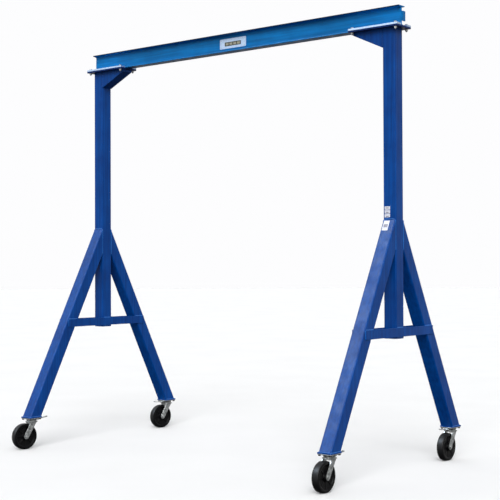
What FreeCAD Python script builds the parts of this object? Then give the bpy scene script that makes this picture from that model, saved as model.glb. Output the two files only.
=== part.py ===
"""Fixed-height gantry crane on four swivel casters, as a parametric document.

Units are millimetres.  +X runs along the beam to the right, +Y points to the rear and +Z is up.  The origin
lies on the floor, in the middle of the crane's whole footprint.
"""
import FreeCAD
import Part
import Sketcher
import math
import os

DOC = FreeCAD.newDocument("GantryCrane")

# Driving dimensions.  Every one stands alone, and everything below is worked out from them.
SIZES = {
    # beam: a standard tapered-flange section
    "headroom": 3060.0,
    "beam_length": 3000.0,
    "beam_depth": 140.0,
    "beam_flange_width": 80.0,
    "beam_web": 5.5,
    "beam_flange_mean": 9.1,
    "beam_flange_taper": 0.1667,
    "beam_root_radius": 8.0,
    # trolley stops at the ends of the beam
    "stop_thickness": 9.0,
    "stop_height": 68.0,
    "stop_reach": 35.0,
    "stop_setback": 3.0,
    # end frames
    "frame_spacing": 2850.0,
    "tube_width": 100.0,
    "tube_wall": 5.0,
    "tube_corner": 10.0,
    "post_cap": 5.0,
    "post_tail": 13.0,
    "leg_spread": 1540.0,
    "leg_angle": 27.5,
    # saddle that carries the beam on each post
    "saddle_length": 400.0,
    "saddle_width": 180.0,
    "saddle_thickness": 12.0,
    "saddle_overhang": 43.0,
    "gusset_length": 240.0,
    "gusset_drop": 130.0,
    "gusset_tip": 18.0,
    "gusset_wall": 6.0,
    # bars on the saddle that keep the beam's lower flange in place
    "keeper_height": 12.5,
    "keeper_gap": 0.3,
    # flat bars across each frame
    "brace_height": 62.0,
    "brace_thickness": 6.0,
    "brace_bottom": 938.0,
    "brace_length": 860.0,
    # plates under the legs
    "foot_length": 108.0,
    "foot_width": 120.0,
    "foot_thickness": 9.0,
    "foot_shift": 4.0,
    # casters
    "caster_height": 240.0,
    "caster_plate": 6.0,
    "caster_trail": 65.0,
    "left_swivel_rest": 10.0,
    "race_diameter": 84.0,
    "race_depth": 11.5,
    "race_gap": 1.0,
    "dome_diameter": 76.0,
    "dome_height": 8.0,
    "crown_diameter": 95.0,
    "crown_thickness": 6.5,
    "kingpin_diameter": 16.0,
    "kingpin_nut": 26.0,
    "kingpin_nut_height": 9.6,
    "bearing_clearance": 0.05,
    # forks
    "fork_gap": 61.0,
    "fork_arm_thickness": 6.0,
    "fork_arm_top": 52.0,
    "fork_boss": 40.0,
    "fork_hole": 10.0,
    # wheels and axles
    "wheel_diameter": 200.0,
    "wheel_width": 50.0,
    "wheel_rim": 22.0,
    "wheel_disc": 30.0,
    "wheel_edge": 6.0,
    "hub_diameter": 56.0,
    "hub_end_gap": 1.0,
    "axle_diameter": 12.0,
    "axle_head": 21.0,
    "axle_head_height": 8.0,
    # swivel lock levers
    "lock_width": 22.0,
    "lock_thickness": 4.0,
    "lock_reach": 96.0,
    "lock_nose": 9.0,
    "lock_rise": 9.0,
    "lock_tip": 5.0,
    "lock_eye": 12.0,
    "lock_pin": 6.0,
    "lock_pin_drop": 9.0,
    "lock_pin_inset": 2.0,
    "lock_side_gap": 0.8,
    "lock_ear_thickness": 3.0,
    "lock_ear_width": 15.0,
    "lock_ear_height": 16.0,
}


def make_sheet():
    """Write the driving dimensions into a sheet, one alias for each."""
    sheet = DOC.addObject("Spreadsheet::Sheet", "Sizes")
    for row, (alias, value) in enumerate(SIZES.items(), start=1):
        sheet.set(f"A{row}", alias)
        sheet.set(f"B{row}", str(value))
        sheet.setAlias(f"B{row}", alias)
    DOC.recompute()
    return sheet


SHEET = make_sheet()


def size(alias):
    """The expression that reads one driving dimension."""
    if alias not in SIZES:
        raise ValueError(f"no size is called {alias}")
    return f"Sizes.{alias}"


# Derived places, as expressions over the sheet.
HALF_TUBE = f"({size('tube_width')} / 2)"
POST_X = f"({size('frame_spacing')} / 2)"
SADDLE_TOP = size("headroom")
SADDLE_BOTTOM = f"({SADDLE_TOP} - {size('saddle_thickness')})"
SADDLE_OUTER = f"({POST_X} + {HALF_TUBE} + {size('saddle_overhang')})"
SADDLE_X = f"({SADDLE_OUTER} - {size('saddle_length')} / 2)"
BEAM_MIDDLE = f"({size('headroom')} + {size('beam_depth')} / 2)"
POST_BOTTOM = f"({size('brace_bottom')} - {size('post_tail')})"
BRACE_X = f"({HALF_TUBE} + {size('brace_thickness')} / 2)"
FOOT_BOTTOM = size("caster_height")
FOOT_TOP = f"({FOOT_BOTTOM} + {size('foot_thickness')})"
LEG_Y = f"({size('leg_spread')} / 2)"
FOOT_Y = f"({LEG_Y} + {size('foot_shift')})"
CASTER_PLATE_BOTTOM = f"({FOOT_BOTTOM} - {size('caster_plate')})"
RACE_BOTTOM = f"({CASTER_PLATE_BOTTOM} - {size('race_depth')})"
DOME_TOP = f"({RACE_BOTTOM} - {size('race_gap')})"
CROWN_TOP = f"({DOME_TOP} - {size('dome_height')})"
CROWN_BOTTOM = f"({CROWN_TOP} - {size('crown_thickness')})"
WHEEL_RADIUS = f"({size('wheel_diameter')} / 2)"
FORK_WIDTH = f"({size('fork_gap')} + 2 * {size('fork_arm_thickness')})"
ARM_X = f"(({size('fork_gap')} + {size('fork_arm_thickness')}) / 2)"
FORK_RAKE = f"atan({size('caster_trail')} / ({CROWN_BOTTOM} - {WHEEL_RADIUS}))"
LOCK_PIN_Z = f"({CASTER_PLATE_BOTTOM} - {size('lock_pin_drop')})"
LOCK_PIN_Y = f"({size('foot_width')} / 2 - {size('lock_pin_inset')})"
# The wheels trail to the front, so the footprint's middle lies in front of the posts by this much.
FRAME_Y = f"(({size('caster_trail')} + {WHEEL_RADIUS} - {size('foot_width')} / 2) / 2)"
# How far a tool runs past the face that it cuts.
PAST = "1"

NODES = []


def bind(item, **expressions):
    """Bind properties of an object to expressions.  Two underscores in a name stand for a dot."""
    for name, expression in expressions.items():
        item.setExpression(name.replace("__", "."), str(expression))
    return item


def place(item, x="0", y="0", z="0"):
    """Bind an object's position."""
    return bind(item, Placement__Base__x=x, Placement__Base__y=y, Placement__Base__z=z)


def turn(item, axis, degrees):
    """Turn an object about an axis through its own origin."""
    item.Placement.Rotation = FreeCAD.Rotation(FreeCAD.Vector(*axis), degrees)
    return item


def node(item, label):
    """Mark an object as a finished sub-part, whose label names its file."""
    item.Label = label
    NODES.append(item)
    return item


def box(name, length, width, height, x="0", y="0", z="0"):
    """A block centred on x and y, standing on z."""
    block = DOC.addObject("Part::Box", name)
    bind(block, Length=length, Width=width, Height=height)
    return place(block, f"{x} - {length} / 2", f"{y} - {width} / 2", z)


def cylinder(name, diameter, height, x="0", y="0", z="0"):
    """An upright cylinder standing on z."""
    round_bar = DOC.addObject("Part::Cylinder", name)
    bind(round_bar, Radius=f"{diameter} / 2", Height=height)
    return place(round_bar, x, y, z)


def cross_cylinder(name, diameter, length, y="0", z="0"):
    """A cylinder along X, centred on x = 0."""
    round_bar = DOC.addObject("Part::Cylinder", name)
    bind(round_bar, Radius=f"{diameter} / 2", Height=length)
    turn(round_bar, (0, 1, 0), 90)
    return place(round_bar, f"-{length} / 2", y, z)


def hexagon(name, across_corners, height, x="0", y="0", z="0", lies_along_x=False):
    """A hexagonal nut or bolt head, upright or lying along X."""
    prism = DOC.addObject("Part::Prism", name)
    prism.Polygon = 6
    bind(prism, Circumradius=f"{across_corners} / 2", Height=height)
    if lies_along_x:
        turn(prism, (0, 1, 0), 90)
    return place(prism, x, y, z)


def fuse(name, pieces):
    """Join solids into one."""
    joined = DOC.addObject("Part::MultiFuse", name)
    joined.Shapes = pieces
    joined.Refine = True
    return joined


def cut(name, base, tool):
    """Take one solid away from another."""
    rest = DOC.addObject("Part::Cut", name)
    rest.Base = base
    rest.Tool = tool
    rest.Refine = True
    return rest


def group(name, pieces):
    """Keep separate like solids together as one sub-part."""
    pair = DOC.addObject("Part::Compound", name)
    pair.Links = pieces
    return pair


def origin_plane(body, role):
    """One of a body's own origin planes."""
    return next(item for item in body.Origin.OriginFeatures if item.Role == role)


def new_sketch(body, name, role):
    """An empty sketch on one of the body's origin planes."""
    sketch = body.newObject("Sketcher::SketchObject", name)
    sketch.AttachmentSupport = [(origin_plane(body, role), "")]
    sketch.MapMode = "FlatFace"
    return sketch


def evaluate(expression):
    """The present value of an expression, used only to draw a sketch near its final shape."""
    return float(getattr(SHEET.evalExpression(expression), "Value", SHEET.evalExpression(expression)))


def draw_polygon(sketch, corners):
    """Draw a closed outline whose corners are pairs of expressions, each bound to its own place."""
    points = [FreeCAD.Vector(evaluate(across), evaluate(up), 0) for across, up in corners]
    count = len(points)
    for index in range(count):
        sketch.addGeometry(Part.LineSegment(points[index], points[(index + 1) % count]), False)
    for index in range(count):
        sketch.addConstraint(Sketcher.Constraint("Coincident", index, 2, (index + 1) % count, 1))
    for index, (corner, point) in enumerate(zip(corners, points)):
        pin_corner(sketch, index, corner, point)


def pin_corner(sketch, index, corner, point):
    """Bind the start of one line of an outline to its place."""
    for kind, value, expression in (("DistanceX", point.x, corner[0]), ("DistanceY", point.y, corner[1])):
        number = sketch.addConstraint(Sketcher.Constraint(kind, -1, 1, index, 1, value))
        sketch.setExpression(f"Constraints[{number}]", expression)


def draw_circle(sketch, diameter, across, up):
    """Draw a circle bound to its size and place."""
    middle = FreeCAD.Vector(evaluate(across), evaluate(up), 0)
    radius = evaluate(diameter) / 2
    index = sketch.addGeometry(Part.Circle(middle, FreeCAD.Vector(0, 0, 1), radius), False)
    number = sketch.addConstraint(Sketcher.Constraint("Diameter", index, 2 * radius))
    sketch.setExpression(f"Constraints[{number}]", diameter)
    for kind, value, expression in (("DistanceX", middle.x, across), ("DistanceY", middle.y, up)):
        number = sketch.addConstraint(Sketcher.Constraint(kind, -1, 1, index, 3, value))
        sketch.setExpression(f"Constraints[{number}]", expression)


def rectangle(width, height):
    """The corners of a rectangle centred on the sketch's origin."""
    across, up = f"{width} / 2", f"{height} / 2"
    return [(f"-({across})", f"-({up})"), (across, f"-({up})"), (across, up), (f"-({across})", up)]


def new_body(name):
    """An empty body."""
    return DOC.addObject("PartDesign::Body", name)


def pad(body, name, sketch, length, symmetric=False):
    """Thicken a sketch into a solid."""
    feature = body.newObject("PartDesign::Pad", name)
    feature.Profile = sketch
    if symmetric:
        feature.SideType = "Symmetric"
    feature.setExpression("Length", length)
    DOC.recompute()
    return feature


def pocket(body, name, sketch, length, symmetric=False, reverse=False):
    """Cut a sketch out of a body, and make sure that it took material away."""
    before = body.Shape.Volume
    feature = body.newObject("PartDesign::Pocket", name)
    feature.Profile = sketch
    if symmetric:
        feature.SideType = "Symmetric"
    feature.Reversed = reverse
    feature.setExpression("Length", length)
    DOC.recompute()
    if not body.Shape.Volume < before:
        raise ValueError(f"{name} cuts nothing out of {body.Name}")
    return feature


def edges_where(feature, test):
    """The names of the edges of a feature that pass a test."""
    return [f"Edge{number}" for number, edge in enumerate(feature.Shape.Edges, start=1) if test(edge)]


def round_edges(body, name, feature, test, radius):
    """Round the chosen edges of a feature."""
    rounding = body.newObject("PartDesign::Fillet", name)
    rounding.Base = (feature, edges_where(feature, test))
    rounding.setExpression("Radius", radius)
    DOC.recompute()
    return rounding


def runs_along(edge, direction):
    """Whether a straight edge runs along a direction."""
    if edge.Curve.TypeId != "Part::GeomLine":
        return False
    return abs(edge.tangentAt(edge.FirstParameter).dot(FreeCAD.Vector(*direction))) > 0.999


def build_beam():
    """The rolled beam: web, tapered flanges and root fillets, lying along X."""
    half_depth = f"{size('beam_depth')} / 2"
    half_flange = f"{size('beam_flange_width')} / 2"
    half_web = f"{size('beam_web')} / 2"
    half_slope = f"({half_flange} - {half_web}) / 2 * {size('beam_flange_taper')}"
    toe = f"({half_depth} - {size('beam_flange_mean')} + {half_slope})"
    root = f"({half_depth} - {size('beam_flange_mean')} - {half_slope})"
    right = [(half_flange, half_depth), (half_flange, toe), (half_web, root)]
    lower_right = [(across, f"-({up})") for across, up in reversed(right)]
    lower_left = [(f"-({across})", f"-({up})") for across, up in right]
    upper_left = [(f"-({across})", up) for across, up in reversed(right)]
    body = new_body("Beam")
    profile = new_sketch(body, "BeamProfile", "YZ_Plane")
    draw_polygon(profile, right + lower_right + lower_left + upper_left)
    bar = pad(body, "BeamBar", profile, size("beam_length"), symmetric=True)
    web_face = evaluate(half_web)

    def is_root(edge):
        at_web = abs(abs(edge.CenterOfMass.y) - web_face) < 0.01
        return at_web and runs_along(edge, (1, 0, 0))

    round_edges(body, "BeamRoots", bar, is_root, size("beam_root_radius"))
    node(place(body, "0", FRAME_Y, BEAM_MIDDLE), "beam")


def build_beam_stop(side_name, side):
    """A stop plate that stands off the rear of the web at one end of the beam."""
    from_end = f"{size('stop_setback')} + {size('stop_thickness')} / 2"
    across = f"{side} * ({size('beam_length')} / 2 - {from_end})"
    outward = f"{FRAME_Y} + {size('beam_web')} / 2 + {size('stop_reach')} / 2"
    low = f"{BEAM_MIDDLE} - {size('stop_height')} / 2"
    plate = box(
        f"Stop{side_name}", size("stop_thickness"), size("stop_reach"), size("stop_height"), across, outward, low
    )
    node(plate, f"{side_name}_beam_stop")


def build_saddle(side_name, side):
    """The plate on top of a post that carries one end of the beam."""
    plate = box(
        f"Saddle{side_name}",
        size("saddle_length"),
        size("saddle_width"),
        size("saddle_thickness"),
        f"{side} * {SADDLE_X}",
        FRAME_Y,
        SADDLE_BOTTOM,
    )
    node(plate, f"{side_name}_saddle_plate")


def build_keepers(side_name, side):
    """The two bars on the saddle, one on each side of the beam's lower flange, that keep it in place."""
    inner = f"({size('beam_flange_width')} / 2 + {size('keeper_gap')})"
    width = f"({size('saddle_width')} / 2 - {inner})"
    bars = []
    for row_name, row in ROWS:
        bar = box(
            f"Keeper{side_name}{row_name}",
            size("saddle_length"),
            width,
            size("keeper_height"),
            f"{side} * {SADDLE_X}",
            f"{FRAME_Y} + {row} * ({inner} + {width} / 2)",
            SADDLE_TOP,
        )
        bars.append(bar)
    node(group(f"Keepers{side_name}", bars), f"{side_name}_keeper_bars")


def build_post(side_name, side):
    """A square tube post, closed by a cap at its lower end."""
    body = new_body(f"Post{side_name}")
    outline = new_sketch(body, f"PostOutline{side_name}", "XY_Plane")
    draw_polygon(outline, rectangle(size("tube_width"), size("tube_width")))
    length = f"({SADDLE_BOTTOM} - {POST_BOTTOM})"
    bar = pad(body, f"PostBar{side_name}", outline, length)
    round_edges(body, f"PostCorners{side_name}", bar, lambda edge: runs_along(edge, (0, 0, 1)), size("tube_corner"))
    bore_width = f"({size('tube_width')} - 2 * {size('tube_wall')})"
    bore = new_sketch(body, f"PostBore{side_name}", "XY_Plane")
    bore.AttachmentOffset = FreeCAD.Placement(FreeCAD.Vector(0, 0, 1), FreeCAD.Rotation())
    bore.setExpression("AttachmentOffset.Base.z", size("post_cap"))
    draw_polygon(bore, rectangle(bore_width, bore_width))
    pocket(body, f"PostHollow{side_name}", bore, length, reverse=True)
    node(place(body, f"{side} * {POST_X}", FRAME_Y, POST_BOTTOM), f"{side_name}_post")


def build_gusset(side_name, side):
    """The knee boxed in plate between a post's inner face and the saddle plate, open where they close it."""
    slope = f"({size('gusset_drop')} - {size('gusset_tip')}) / {size('gusset_length')}"
    wall_down = f"{size('gusset_wall')} * sqrt(1 + ({slope}) ^ 2)"
    outline = [
        ("0", "0"),
        (size("gusset_length"), "0"),
        (size("gusset_length"), f"-{size('gusset_tip')}"),
        ("0", f"-{size('gusset_drop')}"),
    ]
    inner_end = f"({size('gusset_length')} - {size('gusset_wall')})"
    hollow = [
        ("0", "0"),
        (inner_end, "0"),
        (inner_end, f"-({size('gusset_drop')} - {inner_end} * {slope} - {wall_down})"),
        ("0", f"-({size('gusset_drop')} - {wall_down})"),
    ]
    body = new_body(f"Gusset{side_name}")
    profile = new_sketch(body, f"GussetProfile{side_name}", "XZ_Plane")
    draw_polygon(profile, outline)
    pad(body, f"GussetBox{side_name}", profile, size("tube_width"), symmetric=True)
    inside = new_sketch(body, f"GussetInside{side_name}", "XZ_Plane")
    draw_polygon(inside, hollow)
    width = f"{size('tube_width')} - 2 * {size('gusset_wall')}"
    pocket(body, f"GussetHollow{side_name}", inside, width, symmetric=True)
    turn(body, (0, 0, 1), 180 if side > 0 else 0)
    node(place(body, f"{side} * ({POST_X} - {HALF_TUBE})", FRAME_Y, SADDLE_BOTTOM), f"{side_name}_gusset")


def leg_outline(half_depth):
    """The side outline of a leg, or of its bore, from the foot plate up to the post's face."""
    half_run = f"({half_depth} / cos({size('leg_angle')} * 1deg))"
    slope = f"tan({size('leg_angle')} * 1deg)"
    outer, inner = f"({LEG_Y} + {half_run})", f"({LEG_Y} - {half_run})"
    apex = f"({outer} - {HALF_TUBE}) / {slope}"
    crotch = f"({inner} - {HALF_TUBE}) / {slope}"
    return [(outer, "0"), (HALF_TUBE, apex), (HALF_TUBE, crotch), (inner, "0")]


def build_leg(side_name, side, row_name, row):
    """A raking square tube leg, cut level at its foot and upright where it meets the post."""
    name = f"Leg{side_name}{row_name}"
    angle = math.radians(SIZES["leg_angle"])
    body = new_body(name)
    outline = new_sketch(body, f"{name}Outline", "YZ_Plane")
    draw_polygon(outline, leg_outline(HALF_TUBE))
    bar = pad(body, f"{name}Bar", outline, size("tube_width"), symmetric=True)
    along = (0, -math.sin(angle), math.cos(angle))
    round_edges(body, f"{name}Corners", bar, lambda edge: runs_along(edge, along), size("tube_corner"))
    bore = new_sketch(body, f"{name}Bore", "YZ_Plane")
    draw_polygon(bore, leg_outline(f"({HALF_TUBE} - {size('tube_wall')})"))
    pocket(body, f"{name}Hollow", bore, f"{size('tube_width')} - 2 * {size('tube_wall')}", symmetric=True)
    turn(body, (0, 0, 1), 0 if row > 0 else 180)
    node(place(body, f"{side} * {POST_X}", FRAME_Y, FOOT_TOP), f"{side_name}_{row_name}_leg")


def build_brace(side_name, side, face_name, face):
    """A flat bar across a frame's legs and post, on the outer or the inner face."""
    bar = box(
        f"Brace{side_name}{face_name}",
        size("brace_thickness"),
        size("brace_length"),
        size("brace_height"),
        f"{side} * ({POST_X} + {face} * {BRACE_X})",
        FRAME_Y,
        size("brace_bottom"),
    )
    node(bar, f"{side_name}_{face_name}_brace")


def build_foot(corner):
    """The plate welded under a leg, to which the caster is bolted."""
    plate = box(
        f"Foot{corner.tag}",
        size("foot_length"),
        size("foot_width"),
        size("foot_thickness"),
        corner.x,
        corner.y,
        FOOT_BOTTOM,
    )
    node(plate, f"{corner.label}_foot_plate")


def build_caster_top(corner):
    """A caster's top plate with its upper race, kingpin and the ears and pin of the swivel lock."""
    tag = corner.tag
    ear_x = f"({size('lock_width')} / 2 + {size('lock_side_gap')} + {size('lock_ear_thickness')} / 2)"
    pin_length = f"({size('lock_width')} + 2 * {size('lock_side_gap')} + 4 * {size('lock_ear_thickness')})"
    kingpin_low = f"({CROWN_BOTTOM} - {size('race_gap')} - {size('kingpin_nut_height')})"
    ear_low = f"({CASTER_PLATE_BOTTOM} - {size('lock_ear_height')})"
    pieces = [
        box(f"CasterPlate{tag}", size("foot_length"), size("foot_width"), size("caster_plate"), z=CASTER_PLATE_BOTTOM),
        cylinder(f"UpperRace{tag}", size("race_diameter"), size("race_depth"), z=RACE_BOTTOM),
        cylinder(
            f"Kingpin{tag}", size("kingpin_diameter"), f"({CASTER_PLATE_BOTTOM} - {kingpin_low})", z=kingpin_low
        ),
        hexagon(f"KingpinNut{tag}", size("kingpin_nut"), size("kingpin_nut_height"), z=kingpin_low),
        cross_cylinder(f"LockPin{tag}", size("lock_pin"), pin_length, LOCK_PIN_Y, LOCK_PIN_Z),
    ]
    for hand in (-1, 1):
        ear = box(
            f"LockEar{tag}{'Right' if hand > 0 else 'Left'}",
            size("lock_ear_thickness"),
            size("lock_ear_width"),
            size("lock_ear_height"),
            f"{hand} * {ear_x}",
            LOCK_PIN_Y,
            ear_low,
        )
        pieces.append(ear)
    top = fuse(f"CasterTop{tag}", pieces)
    turn(top, (0, 0, 1), corner.inward)
    node(place(top, corner.x, corner.y, "0"), f"{corner.label}_caster_plate")


def build_lock_lever(corner):
    """The lever that releases the swivel lock: an eye on the pin, a nose and a turned-up tip."""
    tag = corner.tag
    half = f"({size('lock_thickness')} / 2)"
    tip = f"({size('lock_reach')} - {size('lock_thickness')})"
    outline = [
        (f"-{size('lock_nose')}", f"-{half}"),
        (f"{size('lock_eye')}", f"-{half}"),
        (size("lock_reach"), f"{size('lock_rise')} - {half}"),
        (size("lock_reach"), f"{size('lock_rise')} + {size('lock_tip')}"),
        (tip, f"{size('lock_rise')} + {size('lock_tip')}"),
        (tip, f"{size('lock_rise')} + {half}"),
        (f"{size('lock_eye')}", half),
        (f"-{size('lock_nose')}", half),
    ]
    body = new_body(f"Lever{tag}")
    profile = new_sketch(body, f"LeverProfile{tag}", "YZ_Plane")
    draw_polygon(profile, outline)
    pad(body, f"LeverStrip{tag}", profile, size("lock_width"), symmetric=True)
    eye = new_sketch(body, f"LeverEye{tag}", "YZ_Plane")
    draw_circle(eye, size("lock_eye"), "0", "0")
    pad(body, f"LeverEyeBar{tag}", eye, size("lock_width"), symmetric=True)
    hole = new_sketch(body, f"LeverHole{tag}", "YZ_Plane")
    draw_circle(hole, f"{size('lock_pin')} + 2 * {size('bearing_clearance')}", "0", "0")
    pocket(body, f"LeverBore{tag}", hole, f"{size('lock_width')} + {PAST}", symmetric=True)
    turn(body, (0, 0, 1), corner.inward)
    toward_middle = f"{corner.y} - {corner.row} * {LOCK_PIN_Y}"
    node(place(body, corner.x, toward_middle, LOCK_PIN_Z), f"{corner.label}_lock_lever")


def swing(item, corner):
    """Turn a piece about its own upright axis, as its caster's fork stands at rest."""
    turn(item, (0, 0, -1), 0)
    return bind(item, Placement__Rotation__Angle=corner.rest)


def place_on_axis(item, corner):
    """Set a piece down in the middle of its caster's wheel, turned with the fork."""
    trail = size("caster_trail")
    across = f"{corner.x} - {trail} * sin({corner.rest})"
    along = f"{corner.y} - {trail} * cos({corner.rest})"
    return swing(place(item, across, along, WHEEL_RADIUS), corner)


def fork_arm_outline():
    """The side outline of a fork arm, from the crown down to the axle boss."""
    half_top = f"{size('fork_arm_top')} / 2"
    half_boss = f"{size('fork_boss')} / 2"
    across, up = f"{half_boss} * cos({FORK_RAKE})", f"{half_boss} * sin({FORK_RAKE})"
    return [
        (half_top, CROWN_TOP),
        (f"-({half_top})", CROWN_TOP),
        (f"-{size('caster_trail')} - {across}", f"{WHEEL_RADIUS} + {up}"),
        (f"-{size('caster_trail')} + {across}", f"{WHEEL_RADIUS} - {up}"),
    ]


def build_fork(corner):
    """A caster fork: crown and dome on the kingpin, and two raked arms that hold the axle."""
    tag = corner.tag
    trail = f"-{size('caster_trail')}"
    crown_height = f"({CROWN_TOP} - {CROWN_BOTTOM})"
    pieces = [
        cylinder(f"Crown{tag}", size("crown_diameter"), crown_height, z=CROWN_BOTTOM),
        cylinder(f"Dome{tag}", size("dome_diameter"), f"{size('dome_height')} + {crown_height}", z=CROWN_BOTTOM),
    ]
    for side_name, hand in (("Left", -1), ("Right", 1)):
        arm = new_body(f"Arm{tag}{side_name}")
        profile = new_sketch(arm, f"ArmProfile{tag}{side_name}", "YZ_Plane")
        draw_polygon(profile, fork_arm_outline())
        pad(arm, f"ArmPlate{tag}{side_name}", profile, size("fork_arm_thickness"), symmetric=True)
        boss = new_sketch(arm, f"ArmBoss{tag}{side_name}", "YZ_Plane")
        draw_circle(boss, size("fork_boss"), trail, WHEEL_RADIUS)
        pad(arm, f"ArmEnd{tag}{side_name}", boss, size("fork_arm_thickness"), symmetric=True)
        pieces.append(place(arm, f"{hand} * {ARM_X}"))
    solid = fuse(f"ForkSolid{tag}", pieces)
    clearance = f"2 * {size('bearing_clearance')}"
    hole_z = f"({CROWN_BOTTOM} + {WHEEL_RADIUS}) / 2"
    across = f"({FORK_WIDTH} + 2 * {PAST})"
    tools = [
        cylinder(
            f"KingpinHole{tag}",
            f"({size('kingpin_diameter')} + {clearance})",
            f"{DOME_TOP} - {CROWN_BOTTOM} + 2 * {PAST}",
            z=f"{CROWN_BOTTOM} - {PAST}",
        ),
        cross_cylinder(f"AxleHole{tag}", f"({size('axle_diameter')} + {clearance})", across, trail, WHEEL_RADIUS),
        cross_cylinder(f"ArmHole{tag}", size("fork_hole"), across, f"{trail} / 2", hole_z),
    ]
    fork = cut(f"Fork{tag}", solid, fuse(f"ForkHoles{tag}", tools))
    node(swing(place(fork, corner.x, corner.y, "0"), corner), f"{corner.label}_fork")


def build_axle(corner):
    """The axle bolt through a fork, with its head and nut outside the arms."""
    tag = corner.tag
    half = f"{FORK_WIDTH} / 2"
    head_height = size("axle_head_height")
    pieces = [
        cross_cylinder(f"AxleShank{tag}", size("axle_diameter"), f"({FORK_WIDTH} + 2 * {head_height})"),
        hexagon(f"AxleHead{tag}", size("axle_head"), head_height, x=half, lies_along_x=True),
        hexagon(f"AxleNut{tag}", size("axle_head"), head_height, x=f"-{half} - {head_height}", lies_along_x=True),
    ]
    axle = fuse(f"Axle{tag}", pieces)
    node(place_on_axis(axle, corner), f"{corner.label}_axle")


def build_wheel(corner):
    """A solid moulded wheel: tread, dished discs and a longer hub, turned about X."""
    tag = corner.tag
    bore = f"({size('axle_diameter')} / 2 + {size('bearing_clearance')})"
    hub = f"{size('hub_diameter')} / 2"
    half_hub = f"({size('fork_gap')} / 2 - {size('hub_end_gap')})"
    half_disc = f"{size('wheel_disc')} / 2"
    half_width = f"{size('wheel_width')} / 2"
    rim = f"({WHEEL_RADIUS} - {size('wheel_rim')})"
    right = [
        (half_hub, bore),
        (half_hub, hub),
        (half_disc, hub),
        (half_disc, rim),
        (half_width, rim),
        (half_width, WHEEL_RADIUS),
    ]
    left = [(f"-({across})", up) for across, up in reversed(right)]
    body = new_body(f"Wheel{tag}")
    profile = new_sketch(body, f"WheelProfile{tag}", "XZ_Plane")
    draw_polygon(profile, right + left)
    turned = body.newObject("PartDesign::Revolution", f"WheelTurned{tag}")
    turned.Profile = profile
    turned.ReferenceAxis = (profile, ["H_Axis"])
    turned.Angle = 360
    DOC.recompute()
    outside = SIZES["wheel_diameter"] / 2

    def is_tread_edge(edge):
        return edge.Curve.TypeId == "Part::GeomCircle" and abs(edge.Curve.Radius - outside) < 0.01

    round_edges(body, f"WheelShoulders{tag}", turned, is_tread_edge, size("wheel_edge"))
    node(place_on_axis(body, corner), f"{corner.label}_wheel")


class Corner:
    """Where one caster stands: left or right, front or rear."""

    def __init__(self, side_name, side, row_name, row):
        self.label = f"{side_name}_{row_name}"
        self.tag = side_name.capitalize() + row_name.capitalize()
        self.row = row
        self.x = f"({side} * {POST_X})"
        self.y = f"({FRAME_Y} + {row} * {FOOT_Y})"
        # The lock levers point to the middle of the frame.
        self.inward = 180 if row > 0 else 0
        # The left casters have come to rest a little turned.
        self.rest = f"({size('left_swivel_rest')} * 1deg)" if side < 0 else "(0 * 1deg)"


SIDES = (("left", -1), ("right", 1))
ROWS = (("front", -1), ("rear", 1))


def build_crane():
    """Build every sub-part."""
    build_beam()
    for side_name, side in SIDES:
        build_beam_stop(side_name, side)
        build_saddle(side_name, side)
        build_keepers(side_name, side)
        build_post(side_name, side)
        build_gusset(side_name, side)
        for face_name, face in (("inner", -1), ("outer", 1)):
            build_brace(side_name, side, face_name, face)
        for row_name, row in ROWS:
            corner = Corner(side_name, side, row_name, row)
            build_leg(side_name, side, row_name, row)
            build_foot(corner)
            build_caster_top(corner)
            build_lock_lever(corner)
            build_fork(corner)
            build_axle(corner)
            build_wheel(corner)


def check_document():
    """Stop if any object failed, or if a sub-part has no sound shape."""
    for item in DOC.Objects:
        if "Invalid" in item.State or "Error" in item.State:
            raise ValueError(f"{item.Name} failed: {item.State}")
    for item in NODES:
        if item.Shape.isNull() or not item.Shape.isValid() or not item.Shape.Solids:
            raise ValueError(f"{item.Label} has no sound shape")


def export_nodes():
    """Write each sub-part to its own file."""
    os.makedirs("parts", exist_ok=True)
    for item in NODES:
        item.Shape.exportStep(f"parts/{item.Label}.step")


build_crane()
DOC.recompute()
check_document()
export_nodes()
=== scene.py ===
"""Looks of a fixed-height steel gantry crane on four swivel casters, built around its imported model.

The painted frame keeps its own solids and gets its enamel, soft edges, weld beads, bolts and blank plates.
The casters get finer pieces: ribbed wheels, pressed forks, axle bolts, and top plates with their races and
lock ears.  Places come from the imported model, and the sizes of what only shows here are fields of its class.
"""

import logging
import math
from dataclasses import dataclass, field
from enum import Enum
from typing import Any, Callable, Sequence

import bmesh
import bpy
from mathutils import Matrix, Vector


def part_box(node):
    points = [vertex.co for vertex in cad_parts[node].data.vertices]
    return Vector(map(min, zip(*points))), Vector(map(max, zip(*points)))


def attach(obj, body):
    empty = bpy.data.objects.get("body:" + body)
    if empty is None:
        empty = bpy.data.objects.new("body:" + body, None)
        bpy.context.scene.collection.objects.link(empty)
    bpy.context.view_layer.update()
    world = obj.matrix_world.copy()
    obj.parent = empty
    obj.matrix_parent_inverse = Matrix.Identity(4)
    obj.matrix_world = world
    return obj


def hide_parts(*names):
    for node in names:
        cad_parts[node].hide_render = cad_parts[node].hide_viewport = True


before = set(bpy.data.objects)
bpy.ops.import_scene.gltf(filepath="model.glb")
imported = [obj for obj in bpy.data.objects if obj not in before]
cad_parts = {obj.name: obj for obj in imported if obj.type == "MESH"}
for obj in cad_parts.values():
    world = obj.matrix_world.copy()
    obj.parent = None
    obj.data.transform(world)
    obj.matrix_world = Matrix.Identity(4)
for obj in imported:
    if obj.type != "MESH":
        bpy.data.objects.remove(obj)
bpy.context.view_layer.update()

LOG = logging.getLogger("gantry_crane")
MM = 0.001
BOTH = (-1, 1)
EASED = 0.3
ROUND_FALL = 0.29
JOIN_WITHIN = 0.00002
UPRIGHT = Matrix.Rotation(math.pi / 2, 4, "X")
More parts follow.
